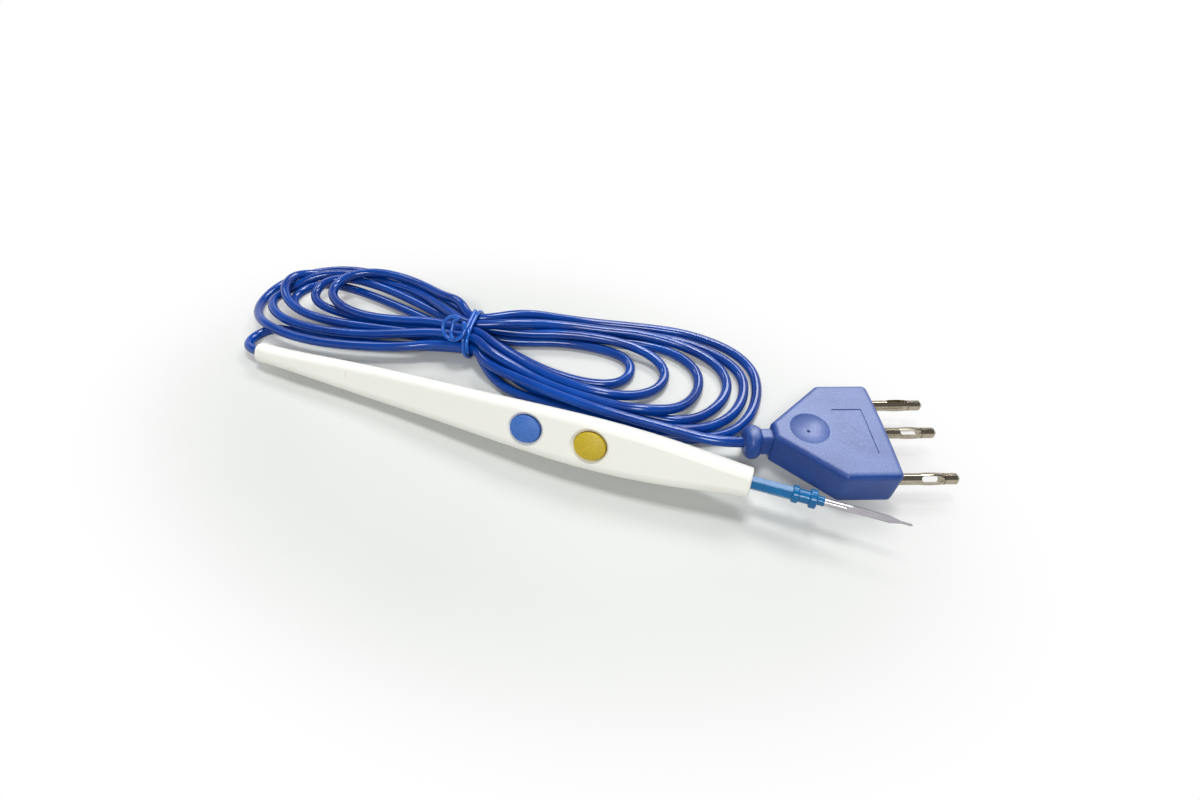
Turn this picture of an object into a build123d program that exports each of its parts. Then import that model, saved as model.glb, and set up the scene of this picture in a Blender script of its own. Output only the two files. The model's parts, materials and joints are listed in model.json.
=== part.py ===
# Electrosurgical pencil: a two-shell handle with two oval press buttons, a plug-in blade
# electrode, and a lead wound into a tied hank that ends in a moulded three-pin plug.
# Millimetres, +Z up. The handle's pieces are drawn with the button face up, its nose at the
# origin and its tail along -X. They are then laid down as the pencil lies on a table, on its
# side, touching at the belly and the tail. The row frame stands at the bottom centre of the
# handle with its electrode, +X along it towards the tip.
from math import atan2, cos, degrees, pi, radians, sin, tan
import os

from build123d import *

# Handle form: distance from the nose, then widths, face height and back depth there
HANDLE_LENGTH = 195.0
NOSE_WIDTH, NOSE_BACK_WIDTH, NOSE_FACE, NOSE_BACK = 9.6, 8.6, 4.5, 4.5
GRIP_FROM_NOSE = 25.0
GRIP_WIDTH, GRIP_BACK_WIDTH, GRIP_FACE, GRIP_BACK = 15.3, 11.8, 6.6, 5.7
BELLY_FROM_NOSE = 57.0
BELLY_WIDTH, BELLY_BACK_WIDTH, BELLY_FACE, BELLY_BACK = 18.6, 13.4, 8.2, 6.0
SWITCH_FROM_NOSE = 82.0
SWITCH_WIDTH, SWITCH_BACK_WIDTH, SWITCH_FACE, SWITCH_BACK = 17.3, 12.6, 7.7, 5.6
WAIST_FROM_NOSE = 115.0
WAIST_WIDTH, WAIST_BACK_WIDTH, WAIST_FACE, WAIST_BACK = 14.9, 11.4, 5.7, 4.7
REAR_FROM_NOSE = 152.0
REAR_WIDTH, REAR_BACK_WIDTH, REAR_FACE, REAR_BACK = 11.8, 9.6, 4.6, 4.2
TAIL_WIDTH, TAIL_BACK_WIDTH, TAIL_FACE, TAIL_BACK = 8.2, 7.4, 3.9, 3.7
FACE_ROUND = 3.0
BACK_ROUND = 3.6
NOSE_EDGE = 0.7
TAIL_EDGE = 1.6

# How the handle lies
ROLL = 53.0
TILT = 1.8

# Shells
WALL = 1.5
NOSE_WALL = 4.0
TAIL_WALL = 10.0
LIP_HEIGHT = 0.8
LIP_WALL = 0.7
SHELL_GAP = 0.05
RIB = 1.4
NOSE_BORE_D = 5.8

# Buttons, seen from above: long along the handle
BUTTON_LENGTH, BUTTON_WIDTH = 11.0, 9.2
BUTTON_GAP = 0.3
BUTTON_PROUD = 1.2
BUTTON_CROWN = 0.9
BUTTON_RIM = 0.7
BUTTON_TRAVEL = 0.8
CUT_FROM_NOSE = 51.8
COAG_FROM_NOSE = 75.0
FLANGE_OVERHANG = 0.9
FLANGE_THICKNESS = 1.0
FLANGE_CLEAR = 0.35
PLUNGER_D = 3.0

# Switch board and its snap domes
BOARD_LENGTH, BOARD_WIDTH, BOARD_THICKNESS = 52.0, 9.0, 1.0
BOARD_FROM_NOSE = 42.0
BOARD_BOTTOM = 0.6
DOME_D, DOME_HEIGHT, DOME_SHEET = 6.0, 0.9, 0.2
DOME_CLEAR = 0.05

# Electrode and what holds it
SHAFT_D = 2.36
ELECTRODE_LENGTH = 70.2
EXPOSED_LENGTH = 47.1
BLADE_FROM_NOSE, BLADE_RAMP, BLADE_END = 28.5, 3.0, 41.0
BLADE_WIDTH, BLADE_THICKNESS = 2.2, 0.5
NEEDLE_WIDTH, NEEDLE_TAPER = 0.7, 3.0
SLEEVE_FLATS = 3.9
SLEEVE_HEX_LENGTH = 12.5
SLEEVE_INSIDE = 3.8
SLEEVE_RING_1_D, SLEEVE_RING_1 = 5.5, 2.0
SLEEVE_BODY_D, SLEEVE_BODY = 4.2, 3.2
SLEEVE_RING_2_D, SLEEVE_RING_2 = 6.0, 2.2
SLEEVE_NECK_D, SLEEVE_NECK = 3.0, 2.2
SOCKET_D = 4.2
SOCKET_BORE_CLEAR = 0.04
SOCKET_FRONT, SOCKET_LENGTH = 5.5, 23.0
SOCKET_SLIT, SOCKET_SLIT_LENGTH = 0.5, 4.4
SOCKET_COLLAR_D, SOCKET_COLLAR = 5.4, 1.2
SOCKET_BORE_END = 0.4
BARREL_D, BARREL_LENGTH = 3.2, 6.0
SEAT_CLEAR = 0.05
STRIP_WIDTH, STRIP_THICKNESS, STRIP_ON_BOARD = 3.0, 0.3, 2.0

# Lead
CABLE_D = 3.8
CORE_D = 1.1
CORE_SPREAD = 0.85
CABLE_IN_TAIL = 19.0
GRIP_COLLAR_D, GRIP_COLLAR = 4.8, 4.0
CORE_PITCH = 3.0

# Plug, moulded in one with its neck and bead
PLUG_WIDTH, PLUG_THICKNESS = 40.0, 14.0
PLUG_STRAIGHT, PLUG_BODY_LENGTH = 18.0, 37.0
PLUG_TAIL_WIDTH = 6.6
PLUG_FACE_BULGE = 0.5
PLUG_EDGE, PLUG_CORNER = 2.0, 2.2
NECK_LENGTH, NECK_WIDTH, NECK_HEIGHT = 3.4, 5.4, 9.2
BEAD_D, BEAD_LENGTH, BEAD_ROUND = 11.7, 5.6, 2.6
PIN_HEIGHT = 7.0
DIMPLE_D, DIMPLE_DEPTH, DIMPLE_FROM_FACE = 13.0, 1.7, 25.1
GATE_D, GATE_DEPTH = 1.1, 0.6
PANEL_LENGTH, PANEL_WIDTH, PANEL_DEPTH = 10.4, 19.2, 0.3
PANEL_FROM_FACE, PANEL_ACROSS = 10.7, -1.3

# Pins: 4 mm banana pins at the standard 12.7 and 19.05 mm
PIN_SPACING_SMALL, PIN_SPACING_LARGE = 12.7, 19.05
PIN_D, PIN_BULGE_D, PIN_TIP_D = 3.8, 4.2, 3.75
PIN_LENGTH, PIN_INSIDE = 20.6, 9.0
PIN_SOLID, PIN_WINDOW, PIN_SLOT = 7.9, 7.2, 1.9
PIN_GROOVE, PIN_GROOVE_DEPTH = 0.5, 0.25
PIN_TIP_ROUND = 1.0
PIN_FLANGE_D, PIN_FLANGE, PIN_FLANGE_IN = 5.2, 1.4, 4.0
PIN_TAIL_D = 3.4
PIN_SHOULDER_D, PIN_SHOULDER = 4.4, 0.6
WINDOW_ROLLS = {"pin_coag": -14.0, "pin_cut": 26.0, "pin_active": 38.0}

# Where the plug lies: the centre of its pin face, and the way its pins point
PLUG_X, PLUG_Y, PLUG_YAW = 111.6, 35.6, 20.8

# Hank: its turns lie in two lobes, gathered by a twist tie between them
TIE_X, TIE_Y, TIE_YAW = -45.0, 37.4, 9.0
TIED_ACROSS, TIED_HIGH, TIED_LENGTH = 19.4, 11.0, 16.0
LOBE_HIGH = 8.6
LOBE_EDGE = 3.0
LEFT_LOBE = ((-149.7, 34.4), (-145, 21.9), (-133, 12.9), (-110, 10.2), (-80, 14.7), (-56, 23.9),
             (-51.5, 32.4), (-51.5, 44.4), (-58, 53.9), (-82, 65.2), (-110, 69.2), (-132, 66.2),
             (-146, 53.4))
RIGHT_LOBE = ((71.3, 42.4), (68, 27.4), (57, 16.9), (35, 14.2), (0, 14.5), (-20, 14.8), (-31, 18.9),
              (-38.5, 29.4), (-40.5, 45.4), (-30, 56.4), (-5, 66.9), (25, 73.6), (50, 73.2),
              (66, 64.4))
TIE_WIRE_D = 1.3
TIE_ROUND = 0.4
TIE_CLEAR = 0.1
CURL_X, CURL_Y = -54.0, 42.4
CURL_D, CURL_TURN = 9.5, 300.0
FLOOR_CLEAR = 0.05

# Lead's free stretches, between the tail and the hank, and the hank and the plug
LEAD_STRAIGHT = 4.6
PLUG_STRAIGHT_LEAD = 9.0
TAIL_LEAD = ((-130.8, 6.8, 2.6), (-131.0, 14.8, 1.95), (-121.5, 18.0, 1.95))
PLUG_LEAD = ((46.0, 16.8, 6.3), (25.0, 16.8, 6.1), (4.0, 18.6, 6.1), (-15.0, 21.8, 6.4),
             (-30.0, 25.4, 6.9))


def trapezoid_face(width, back_width, face, back, face_round, back_round):
    """One cross-section: flat on the button face, narrower and rounder at the back."""
    height = face + back
    slope = degrees(atan2((width - back_width) / 2, height))
    with BuildSketch() as section:
        with Locations((0, (face - back) / 2)):
            Trapezoid(width, height, 90 - slope, rotation=180)
        fillet(section.vertices().group_by(Axis.Y)[-1], face_round)
        fillet(section.vertices().group_by(Axis.Y)[0], back_round)
    return section.sketch


def handle_form(inset):
    """The whole handle as one lofted solid, drawn in from its outer skin by inset."""
    stations = (
        (0, NOSE_WIDTH, NOSE_BACK_WIDTH, NOSE_FACE, NOSE_BACK),
        (GRIP_FROM_NOSE, GRIP_WIDTH, GRIP_BACK_WIDTH, GRIP_FACE, GRIP_BACK),
        (BELLY_FROM_NOSE, BELLY_WIDTH, BELLY_BACK_WIDTH, BELLY_FACE, BELLY_BACK),
        (SWITCH_FROM_NOSE, SWITCH_WIDTH, SWITCH_BACK_WIDTH, SWITCH_FACE, SWITCH_BACK),
        (WAIST_FROM_NOSE, WAIST_WIDTH, WAIST_BACK_WIDTH, WAIST_FACE, WAIST_BACK),
        (REAR_FROM_NOSE, REAR_WIDTH, REAR_BACK_WIDTH, REAR_FACE, REAR_BACK),
        (HANDLE_LENGTH, TAIL_WIDTH, TAIL_BACK_WIDTH, TAIL_FACE, TAIL_BACK),
    )
    with BuildPart() as form:
        for distance, width, back_width, face, back in stations:
            with BuildSketch(Plane((-distance, 0, 0), x_dir=(0, 1, 0), z_dir=(1, 0, 0))):
                add(trapezoid_face(width - 2 * inset, back_width - 2 * inset, face - inset,
                                   back - inset, FACE_ROUND - inset, BACK_ROUND - inset))
        loft()
    return form


def slab(nearest, furthest, low, high, width=60.0):
    """A plain block between two distances from the nose and two heights."""
    with BuildPart() as block:
        with Locations((-(nearest + furthest) / 2, 0, (low + high) / 2)):
            Box(furthest - nearest, width, high - low)
    return block.part


def face_at(distance):
    """Height of the button face above the axis, this far from the nose."""
    stations = ((GRIP_FROM_NOSE, GRIP_FACE), (BELLY_FROM_NOSE, BELLY_FACE),
                (SWITCH_FROM_NOSE, SWITCH_FACE), (WAIST_FROM_NOSE, WAIST_FACE))
    for (near, near_face), (far, far_face) in zip(stations, stations[1:]):
        if near <= distance <= far:
            return near_face + (far_face - near_face) * (distance - near) / (far - near)
    raise ValueError("no button face there")


TALL = 20.0
CAVITY_END = HANDLE_LENGTH - TAIL_WALL
BOARD_TOP = BOARD_BOTTOM + BOARD_THICKNESS
BOARD_END = BOARD_FROM_NOSE + BOARD_LENGTH
SOCKET_SEATS = (10.0, 24.0)
BOARD_SEATS = (47.0, 66.7, 89.0)
PEG_D, PEG_HEIGHT = 1.5, 1.3
PEGS = ((47.0, 3.2), (89.0, 0.0))
CABLE_SEAT = CAVITY_END - GRIP_COLLAR - RIB / 2 - 2 * SEAT_CLEAR

# Outer skin, the space inside it, and the step where the two shells lap
with BuildPart() as outer_form:
    add(handle_form(0).part)
    fillet(outer_form.faces().sort_by(Axis.X)[-1].edges(), NOSE_EDGE)
    fillet(outer_form.faces().sort_by(Axis.X)[0].edges(), TAIL_EDGE)

with BuildPart() as cavity:
    add(handle_form(WALL).part)
    add(slab(NOSE_WALL, CAVITY_END, -TALL, TALL), mode=Mode.INTERSECT)

with BuildPart() as rebate:
    add(handle_form(WALL - LIP_WALL).part)
    add(slab(NOSE_WALL, CAVITY_END, 0, LIP_HEIGHT), mode=Mode.INTERSECT)

with BuildPart() as lip:
    add(handle_form(WALL - LIP_WALL + SHELL_GAP).part)
    add(slab(NOSE_WALL + SHELL_GAP, CAVITY_END - SHELL_GAP, 0, LIP_HEIGHT - SHELL_GAP),
        mode=Mode.INTERSECT)
    add(cavity.part, mode=Mode.SUBTRACT)

# Bores along the axis: the nose opening, the socket's seats and the lead's way out
with BuildPart() as axis_bores:
    with BuildSketch(Plane.YZ):
        Circle(NOSE_BORE_D / 2)
    extrude(amount=-NOSE_WALL)
    with BuildSketch(Plane.YZ.offset(-NOSE_WALL)):
        Circle(SOCKET_D / 2 + SEAT_CLEAR)
    extrude(amount=-(SOCKET_FRONT + SOCKET_LENGTH))
    with BuildSketch(Plane.YZ.offset(-HANDLE_LENGTH)):
        Circle(CABLE_D / 2 + SEAT_CLEAR)
    extrude(amount=HANDLE_LENGTH - CABLE_SEAT + RIB)
    with BuildSketch(Plane.YZ.offset(-CAVITY_END)):
        Circle(GRIP_COLLAR_D / 2 + SEAT_CLEAR)
    extrude(amount=GRIP_COLLAR + 2 * SEAT_CLEAR)

with BuildPart() as lower_ribs:
    for seat in SOCKET_SEATS + (CABLE_SEAT,):
        add(slab(seat - RIB / 2, seat + RIB / 2, -TALL, 0))
    for seat in BOARD_SEATS:
        add(slab(seat - RIB / 2, seat + RIB / 2, -TALL, BOARD_BOTTOM))
    add(cavity.part, mode=Mode.INTERSECT)
    for distance, across in PEGS:
        with BuildSketch(Plane.XY.offset(BOARD_BOTTOM)):
            with Locations((-distance, across)):
                Circle(PEG_D / 2)
        extrude(amount=PEG_HEIGHT)

with BuildPart() as upper_ribs:
    for seat in SOCKET_SEATS + (CABLE_SEAT,):
        add(slab(seat - RIB / 2, seat + RIB / 2, LIP_HEIGHT, TALL))
    add(cavity.part, mode=Mode.INTERSECT)

with BuildPart() as lower_shell:
    add(outer_form.part)
    split(bisect_by=Plane.XY, keep=Keep.BOTTOM)
    add(cavity.part, mode=Mode.SUBTRACT)
    add(lip.part)
    add(lower_ribs.part)
    add(axis_bores.part, mode=Mode.SUBTRACT)

with BuildPart() as upper_shell:
    add(outer_form.part)
    split(bisect_by=Plane.XY, keep=Keep.TOP)
    add(cavity.part, mode=Mode.SUBTRACT)
    add(rebate.part, mode=Mode.SUBTRACT)
    add(upper_ribs.part)
    add(axis_bores.part, mode=Mode.SUBTRACT)
    for distance in (CUT_FROM_NOSE, COAG_FROM_NOSE):
        with BuildSketch(Plane.XY.offset(face_at(distance) - 2 * WALL)):
            with Locations((-distance, 0)):
                Ellipse(BUTTON_LENGTH / 2 + BUTTON_GAP, BUTTON_WIDTH / 2 + BUTTON_GAP)
        extrude(amount=TALL, mode=Mode.SUBTRACT)
        with BuildSketch(Plane.XY.offset(face_at(distance) - BUTTON_RIM)):
            with Locations((-distance, 0)):
                Ellipse(BUTTON_LENGTH / 2 + BUTTON_GAP, BUTTON_WIDTH / 2 + BUTTON_GAP)
        extrude(amount=2 * BUTTON_RIM, taper=-45, mode=Mode.SUBTRACT)


def press_button(distance):
    """A domed oval cap, the flange that keeps it in, and the plunger over its dome."""
    top = face_at(distance) + BUTTON_PROUD
    crown_radius = ((BUTTON_LENGTH / 2) ** 2 + BUTTON_CROWN ** 2) / (2 * BUTTON_CROWN)
    flange_top = face_at(distance) - WALL - FLANGE_CLEAR
    plunger_end = BOARD_TOP + DOME_HEIGHT + DOME_CLEAR
    with BuildPart() as button:
        with BuildSketch(Plane.XY.offset(flange_top - FLANGE_THICKNESS)):
            with Locations((-distance, 0)):
                Ellipse(BUTTON_LENGTH / 2, BUTTON_WIDTH / 2)
        extrude(amount=top - flange_top + FLANGE_THICKNESS)
        with Locations((-distance, 0, top - crown_radius)):
            Sphere(crown_radius, mode=Mode.INTERSECT)
        fillet(button.faces().sort_by(Axis.Z)[-1].edges(), 0.35)
        with BuildSketch(Plane.XY.offset(flange_top - FLANGE_THICKNESS)):
            with Locations((-distance, 0)):
                Ellipse(BUTTON_LENGTH / 2 + FLANGE_OVERHANG, BUTTON_WIDTH / 2 + FLANGE_OVERHANG)
        extrude(amount=FLANGE_THICKNESS)
        with BuildSketch(Plane.XY.offset(plunger_end)):
            with Locations((-distance, 0)):
                Circle(PLUNGER_D / 2)
        extrude(amount=flange_top - FLANGE_THICKNESS - plunger_end)
    return button


cut_button = press_button(CUT_FROM_NOSE)
coag_button = press_button(COAG_FROM_NOSE)

# Switch board on the lower shell's ribs, with a pressed steel snap dome under each button
with BuildPart() as switch_board:
    with BuildSketch(Plane.XY.offset(BOARD_BOTTOM)) as board_outline:
        with Locations((-BOARD_FROM_NOSE - BOARD_LENGTH / 2, 0)):
            RectangleRounded(BOARD_LENGTH, BOARD_WIDTH, 1.0)
        for distance, across in PEGS:
            with Locations((-distance, across)):
                Circle(PEG_D / 2 + SEAT_CLEAR, mode=Mode.SUBTRACT)
    extrude(amount=BOARD_THICKNESS)


def snap_dome(distance):
    """A shallow sheet-metal cap whose rim sits on the board."""
    dome_radius = ((DOME_D / 2) ** 2 + DOME_HEIGHT ** 2) / (2 * DOME_HEIGHT)
    with BuildPart() as dome:
        with Locations((-distance, 0, BOARD_TOP + DOME_HEIGHT - dome_radius)):
            Sphere(dome_radius)
            Sphere(dome_radius - DOME_SHEET, mode=Mode.SUBTRACT)
        split(bisect_by=Plane.XY.offset(BOARD_TOP), keep=Keep.TOP)
    return dome


cut_dome = snap_dome(CUT_FROM_NOSE)
coag_dome = snap_dome(COAG_FROM_NOSE)

# Brass socket: slit fingers grip the electrode, a collar locks it behind the front rib
SOCKET_END = SOCKET_FRONT + SOCKET_LENGTH
INSERTED_LENGTH = ELECTRODE_LENGTH - EXPOSED_LENGTH
COLLAR_FRONT = SOCKET_SEATS[0] + RIB / 2 + SEAT_CLEAR
with BuildPart() as electrode_socket:
    with BuildSketch(Plane.YZ.offset(-SOCKET_FRONT)):
        Circle(SOCKET_D / 2)
    extrude(amount=-SOCKET_LENGTH)
    with BuildSketch(Plane.YZ.offset(-COLLAR_FRONT)):
        Circle(SOCKET_COLLAR_D / 2)
    extrude(amount=-SOCKET_COLLAR)
    with BuildSketch(Plane.YZ.offset(-SOCKET_END)):
        Circle(BARREL_D / 2)
    extrude(amount=-BARREL_LENGTH)
    with BuildSketch(Plane.YZ.offset(-SOCKET_FRONT)):
        Circle(SHAFT_D / 2 + SOCKET_BORE_CLEAR)
    extrude(amount=-(INSERTED_LENGTH + SOCKET_BORE_END - SOCKET_FRONT), mode=Mode.SUBTRACT)
    with BuildSketch(Plane.YZ.offset(-SOCKET_FRONT)):
        Rectangle(SOCKET_SLIT, SOCKET_D)
        Rectangle(SOCKET_D, SOCKET_SLIT)
    extrude(amount=-SOCKET_SLIT_LENGTH, mode=Mode.SUBTRACT)

# Brass strip from the socket's barrel to the board
with BuildPart() as contact_strip:
    with BuildSketch(Plane.YZ.offset(-SOCKET_END - 1.0)):
        Circle(BARREL_D / 2 + STRIP_THICKNESS)
        Circle(BARREL_D / 2, mode=Mode.SUBTRACT)
        with Locations((0, -BARREL_D)):
            Rectangle(2 * BARREL_D, 2 * BARREL_D, mode=Mode.SUBTRACT)
    extrude(amount=-(BARREL_LENGTH - 2.0))
    with BuildSketch(Plane.XY.offset(BOARD_TOP)):
        with Locations((-(SOCKET_END + BARREL_LENGTH + BOARD_FROM_NOSE + STRIP_ON_BOARD) / 2, 0)):
            Rectangle(BOARD_FROM_NOSE + STRIP_ON_BOARD - SOCKET_END - BARREL_LENGTH + 8.0,
                      STRIP_WIDTH)
    extrude(amount=STRIP_THICKNESS)
    with BuildSketch(Plane.YZ.offset(-SOCKET_END)):
        Circle(BARREL_D / 2)
    extrude(amount=-BARREL_LENGTH, mode=Mode.SUBTRACT)

# Electrode: round steel bar, coined flat for the blade and drawn in to a needle tip
NEEDLE_START = BLADE_END + NEEDLE_TAPER
with BuildPart() as electrode_blade:
    with BuildSketch(Plane.YZ.offset(-INSERTED_LENGTH)):
        Circle(SHAFT_D / 2)
    extrude(amount=ELECTRODE_LENGTH)
    with BuildSketch(Plane.XY):
        with BuildLine():
            Polyline((-INSERTED_LENGTH, -SHAFT_D / 2), (BLADE_FROM_NOSE, -SHAFT_D / 2),
                     (BLADE_FROM_NOSE + BLADE_RAMP, -BLADE_WIDTH / 2),
                     (BLADE_END, -BLADE_WIDTH / 2), (NEEDLE_START, -NEEDLE_WIDTH / 2),
                     (EXPOSED_LENGTH - NEEDLE_WIDTH / 2, -NEEDLE_WIDTH / 2))
            ThreePointArc((EXPOSED_LENGTH - NEEDLE_WIDTH / 2, -NEEDLE_WIDTH / 2),
                          (EXPOSED_LENGTH, 0),
                          (EXPOSED_LENGTH - NEEDLE_WIDTH / 2, NEEDLE_WIDTH / 2))
            Polyline((EXPOSED_LENGTH - NEEDLE_WIDTH / 2, NEEDLE_WIDTH / 2),
                     (NEEDLE_START, NEEDLE_WIDTH / 2), (BLADE_END, BLADE_WIDTH / 2),
                     (BLADE_FROM_NOSE + BLADE_RAMP, BLADE_WIDTH / 2),
                     (BLADE_FROM_NOSE, SHAFT_D / 2), (-INSERTED_LENGTH, SHAFT_D / 2),
                     (-INSERTED_LENGTH, -SHAFT_D / 2))
        make_face()
    extrude(amount=SHAFT_D, both=True, mode=Mode.INTERSECT)
    with BuildSketch(Plane.XZ):
        with BuildLine():
            Polyline((-INSERTED_LENGTH, -SHAFT_D / 2), (BLADE_FROM_NOSE, -SHAFT_D / 2),
                     (BLADE_FROM_NOSE + BLADE_RAMP, -BLADE_THICKNESS / 2),
                     (EXPOSED_LENGTH, -BLADE_THICKNESS / 2), (EXPOSED_LENGTH, BLADE_THICKNESS / 2),
                     (BLADE_FROM_NOSE + BLADE_RAMP, BLADE_THICKNESS / 2),
                     (BLADE_FROM_NOSE, SHAFT_D / 2), (-INSERTED_LENGTH, SHAFT_D / 2), close=True)
        make_face()
    extrude(amount=SHAFT_D, both=True, mode=Mode.INTERSECT)
    chamfer(electrode_blade.faces().sort_by(Axis.X)[0].edges(), 0.3)

# Insulating sleeve moulded on the shaft: a hexagon, two stop rings and a slim neck
RING_1_START = SLEEVE_HEX_LENGTH
BODY_START = RING_1_START + SLEEVE_RING_1
RING_2_START = BODY_START + SLEEVE_BODY
SLEEVE_NECK_START = RING_2_START + SLEEVE_RING_2
SLEEVE_END = SLEEVE_NECK_START + SLEEVE_NECK
with BuildPart() as electrode_sleeve:
    with BuildSketch(Plane.YZ.offset(-SLEEVE_INSIDE)) as hexagon:
        RegularPolygon(SLEEVE_FLATS / 2, 6, major_radius=False)
        fillet(hexagon.vertices(), 0.3)
    extrude(amount=SLEEVE_INSIDE + SLEEVE_HEX_LENGTH)
    for start, diameter, length in ((RING_1_START, SLEEVE_RING_1_D, SLEEVE_RING_1),
                                    (BODY_START, SLEEVE_BODY_D, SLEEVE_BODY),
                                    (RING_2_START, SLEEVE_RING_2_D, SLEEVE_RING_2),
                                    (SLEEVE_NECK_START, SLEEVE_NECK_D, SLEEVE_NECK)):
        with BuildSketch(Plane.YZ.offset(start)):
            Circle(diameter / 2)
        extrude(amount=length)
    ring_edges = electrode_sleeve.edges().filter_by(GeomType.CIRCLE).filter_by(
        lambda edge: edge.radius > SLEEVE_BODY_D / 2 + 0.1)
    fillet(ring_edges, 0.45)
    with BuildSketch(Plane.YZ.offset(-SLEEVE_INSIDE)):
        Circle(SHAFT_D / 2)
    extrude(amount=SLEEVE_INSIDE + SLEEVE_END, mode=Mode.SUBTRACT)

# End of the lead in the tail, with the moulded collar that the rib traps
with BuildPart() as cable_end:
    with BuildSketch(Plane.YZ.offset(-HANDLE_LENGTH)):
        Circle(CABLE_D / 2)
    extrude(amount=CABLE_IN_TAIL)
    with BuildSketch(Plane.YZ.offset(-CAVITY_END + SEAT_CLEAR)):
        Circle(GRIP_COLLAR_D / 2)
    extrude(amount=GRIP_COLLAR)


def corner_radii(points):
    """0.45 of the shorter run beside each corner, over the tangent of half its turn."""
    radii = []
    for before, here, after in zip(points, points[1:], points[2:]):
        arrive = Vector(*here) - Vector(*before)
        leave = Vector(*after) - Vector(*here)
        turn = arrive.get_angle(leave)
        radii.append(0.45 * min(arrive.length, leave.length) / tan(radians(turn / 2)))
    return radii


def round_wire(points, diameter):
    """A round wire along straight runs joined by tangent arcs."""
    with BuildPart() as wire:
        with BuildLine() as path:
            FilletPolyline(*points, radius=corner_radii(points))
        with BuildSketch(Plane(path.wire() @ 0, z_dir=path.wire() % 0)):
            Circle(diameter / 2)
        sweep(path=path.wire())
    length = path.wire().length
    error = wire.part.volume / (length * pi * diameter ** 2 / 4) - 1
    smallest = min(corner_radii(points))
    print(f"wire {diameter} mm: length {length:.1f}, smallest radius {smallest:.1f}, "
          f"volume error {error:+.4f}")
    return wire


CORES = {"active_core": (90, 0), "coag_core": (-30, CORE_PITCH), "cut_core": (210, -CORE_PITCH)}
core_wires = {}
for core_name, (around, across) in CORES.items():
    start = Vector(0, CORE_SPREAD, 0).rotate(Axis.X, around)
    end_height = BOARD_BOTTOM + BOARD_THICKNESS / 2
    core_wires[core_name] = round_wire(
        [(-HANDLE_LENGTH + CABLE_IN_TAIL, start.Y, start.Z),
         (-HANDLE_LENGTH + CABLE_IN_TAIL + 12, start.Y, start.Z),
         (-BOARD_END - 14, across, end_height), (-BOARD_END, across, end_height)], CORE_D)

pencil = {
    "upper_shell": upper_shell, "lower_shell": lower_shell,
    "coag_button": coag_button, "cut_button": cut_button,
    "switch_board": switch_board, "coag_dome": coag_dome, "cut_dome": cut_dome,
    "electrode_socket": electrode_socket, "contact_strip": contact_strip,
    "electrode_blade": electrode_blade, "electrode_sleeve": electrode_sleeve,
    "cable_end": cable_end, **core_wires,
}

# Lay the handle down and bring the row frame to the middle of its footprint
turned = Location((0, 0, 0), (0, -TILT, 0)) * Location((0, 0, 0), (ROLL, 0, 0))
turned_box = Compound([piece.part.moved(turned) for piece in pencil.values()]).bounding_box()
footprint = turned_box.center()
laid_down = Location((-footprint.X, -footprint.Y, -turned_box.min.Z)) * turned
for piece in pencil.values():
    piece.part.move(laid_down)

# Pins, drawn with the plug flat: pin face at x = 0, pins along +X, underside at z = 0
PIN_PLACES = {
    "pin_coag": (PIN_SPACING_SMALL + PIN_SPACING_LARGE) / 2,
    "pin_cut": (PIN_SPACING_LARGE - PIN_SPACING_SMALL) / 2,
    "pin_active": -(PIN_SPACING_SMALL + PIN_SPACING_LARGE) / 2,
}
WINDOW_END = PIN_SOLID + PIN_WINDOW
TIP_START = WINDOW_END + PIN_GROOVE


def banana_pin(across, window_roll):
    """A turned pin with two sprung leaves, a moulded-in flange and a solid rounded tip."""
    axis = Axis((0, across, PIN_HEIGHT), (1, 0, 0))
    with BuildPart() as pin:
        with BuildSketch(Plane((0, across, PIN_HEIGHT), x_dir=(1, 0, 0), z_dir=(0, -1, 0))):
            with BuildLine():
                Polyline((-PIN_INSIDE, 0), (-PIN_INSIDE, PIN_TAIL_D / 2),
                         (-PIN_FLANGE_IN - PIN_FLANGE, PIN_TAIL_D / 2),
                         (-PIN_FLANGE_IN - PIN_FLANGE, PIN_FLANGE_D / 2),
                         (-PIN_FLANGE_IN, PIN_FLANGE_D / 2),
                         (-PIN_FLANGE_IN, PIN_SHOULDER_D / 2),
                         (PIN_SHOULDER, PIN_SHOULDER_D / 2), (PIN_SHOULDER, PIN_D / 2),
                         (PIN_SOLID, PIN_D / 2))
                ThreePointArc((PIN_SOLID, PIN_D / 2),
                              (PIN_SOLID + PIN_WINDOW / 2, PIN_BULGE_D / 2),
                              (WINDOW_END, PIN_D / 2))
                Polyline((WINDOW_END, PIN_D / 2),
                         (WINDOW_END, PIN_D / 2 - PIN_GROOVE_DEPTH),
                         (TIP_START, PIN_D / 2 - PIN_GROOVE_DEPTH),
                         (TIP_START, PIN_TIP_D / 2),
                         (PIN_LENGTH - PIN_TIP_ROUND, PIN_TIP_D / 2),
                         (PIN_LENGTH, PIN_TIP_D / 2 - PIN_TIP_ROUND), (PIN_LENGTH, 0),
                         (-PIN_INSIDE, 0))
            make_face()
        revolve(axis=axis)
        slot_normal = Vector(0, 0, 1).rotate(Axis.X, window_roll)
        with BuildSketch(Plane((PIN_SOLID + PIN_WINDOW / 2, across, PIN_HEIGHT),
                               x_dir=(1, 0, 0), z_dir=slot_normal)):
            SlotOverall(PIN_WINDOW, PIN_SLOT)
        extrude(amount=PIN_BULGE_D, both=True, mode=Mode.SUBTRACT)
    return pin


pins = {name: banana_pin(place, WINDOW_ROLLS[name]) for name, place in PIN_PLACES.items()}

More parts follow.
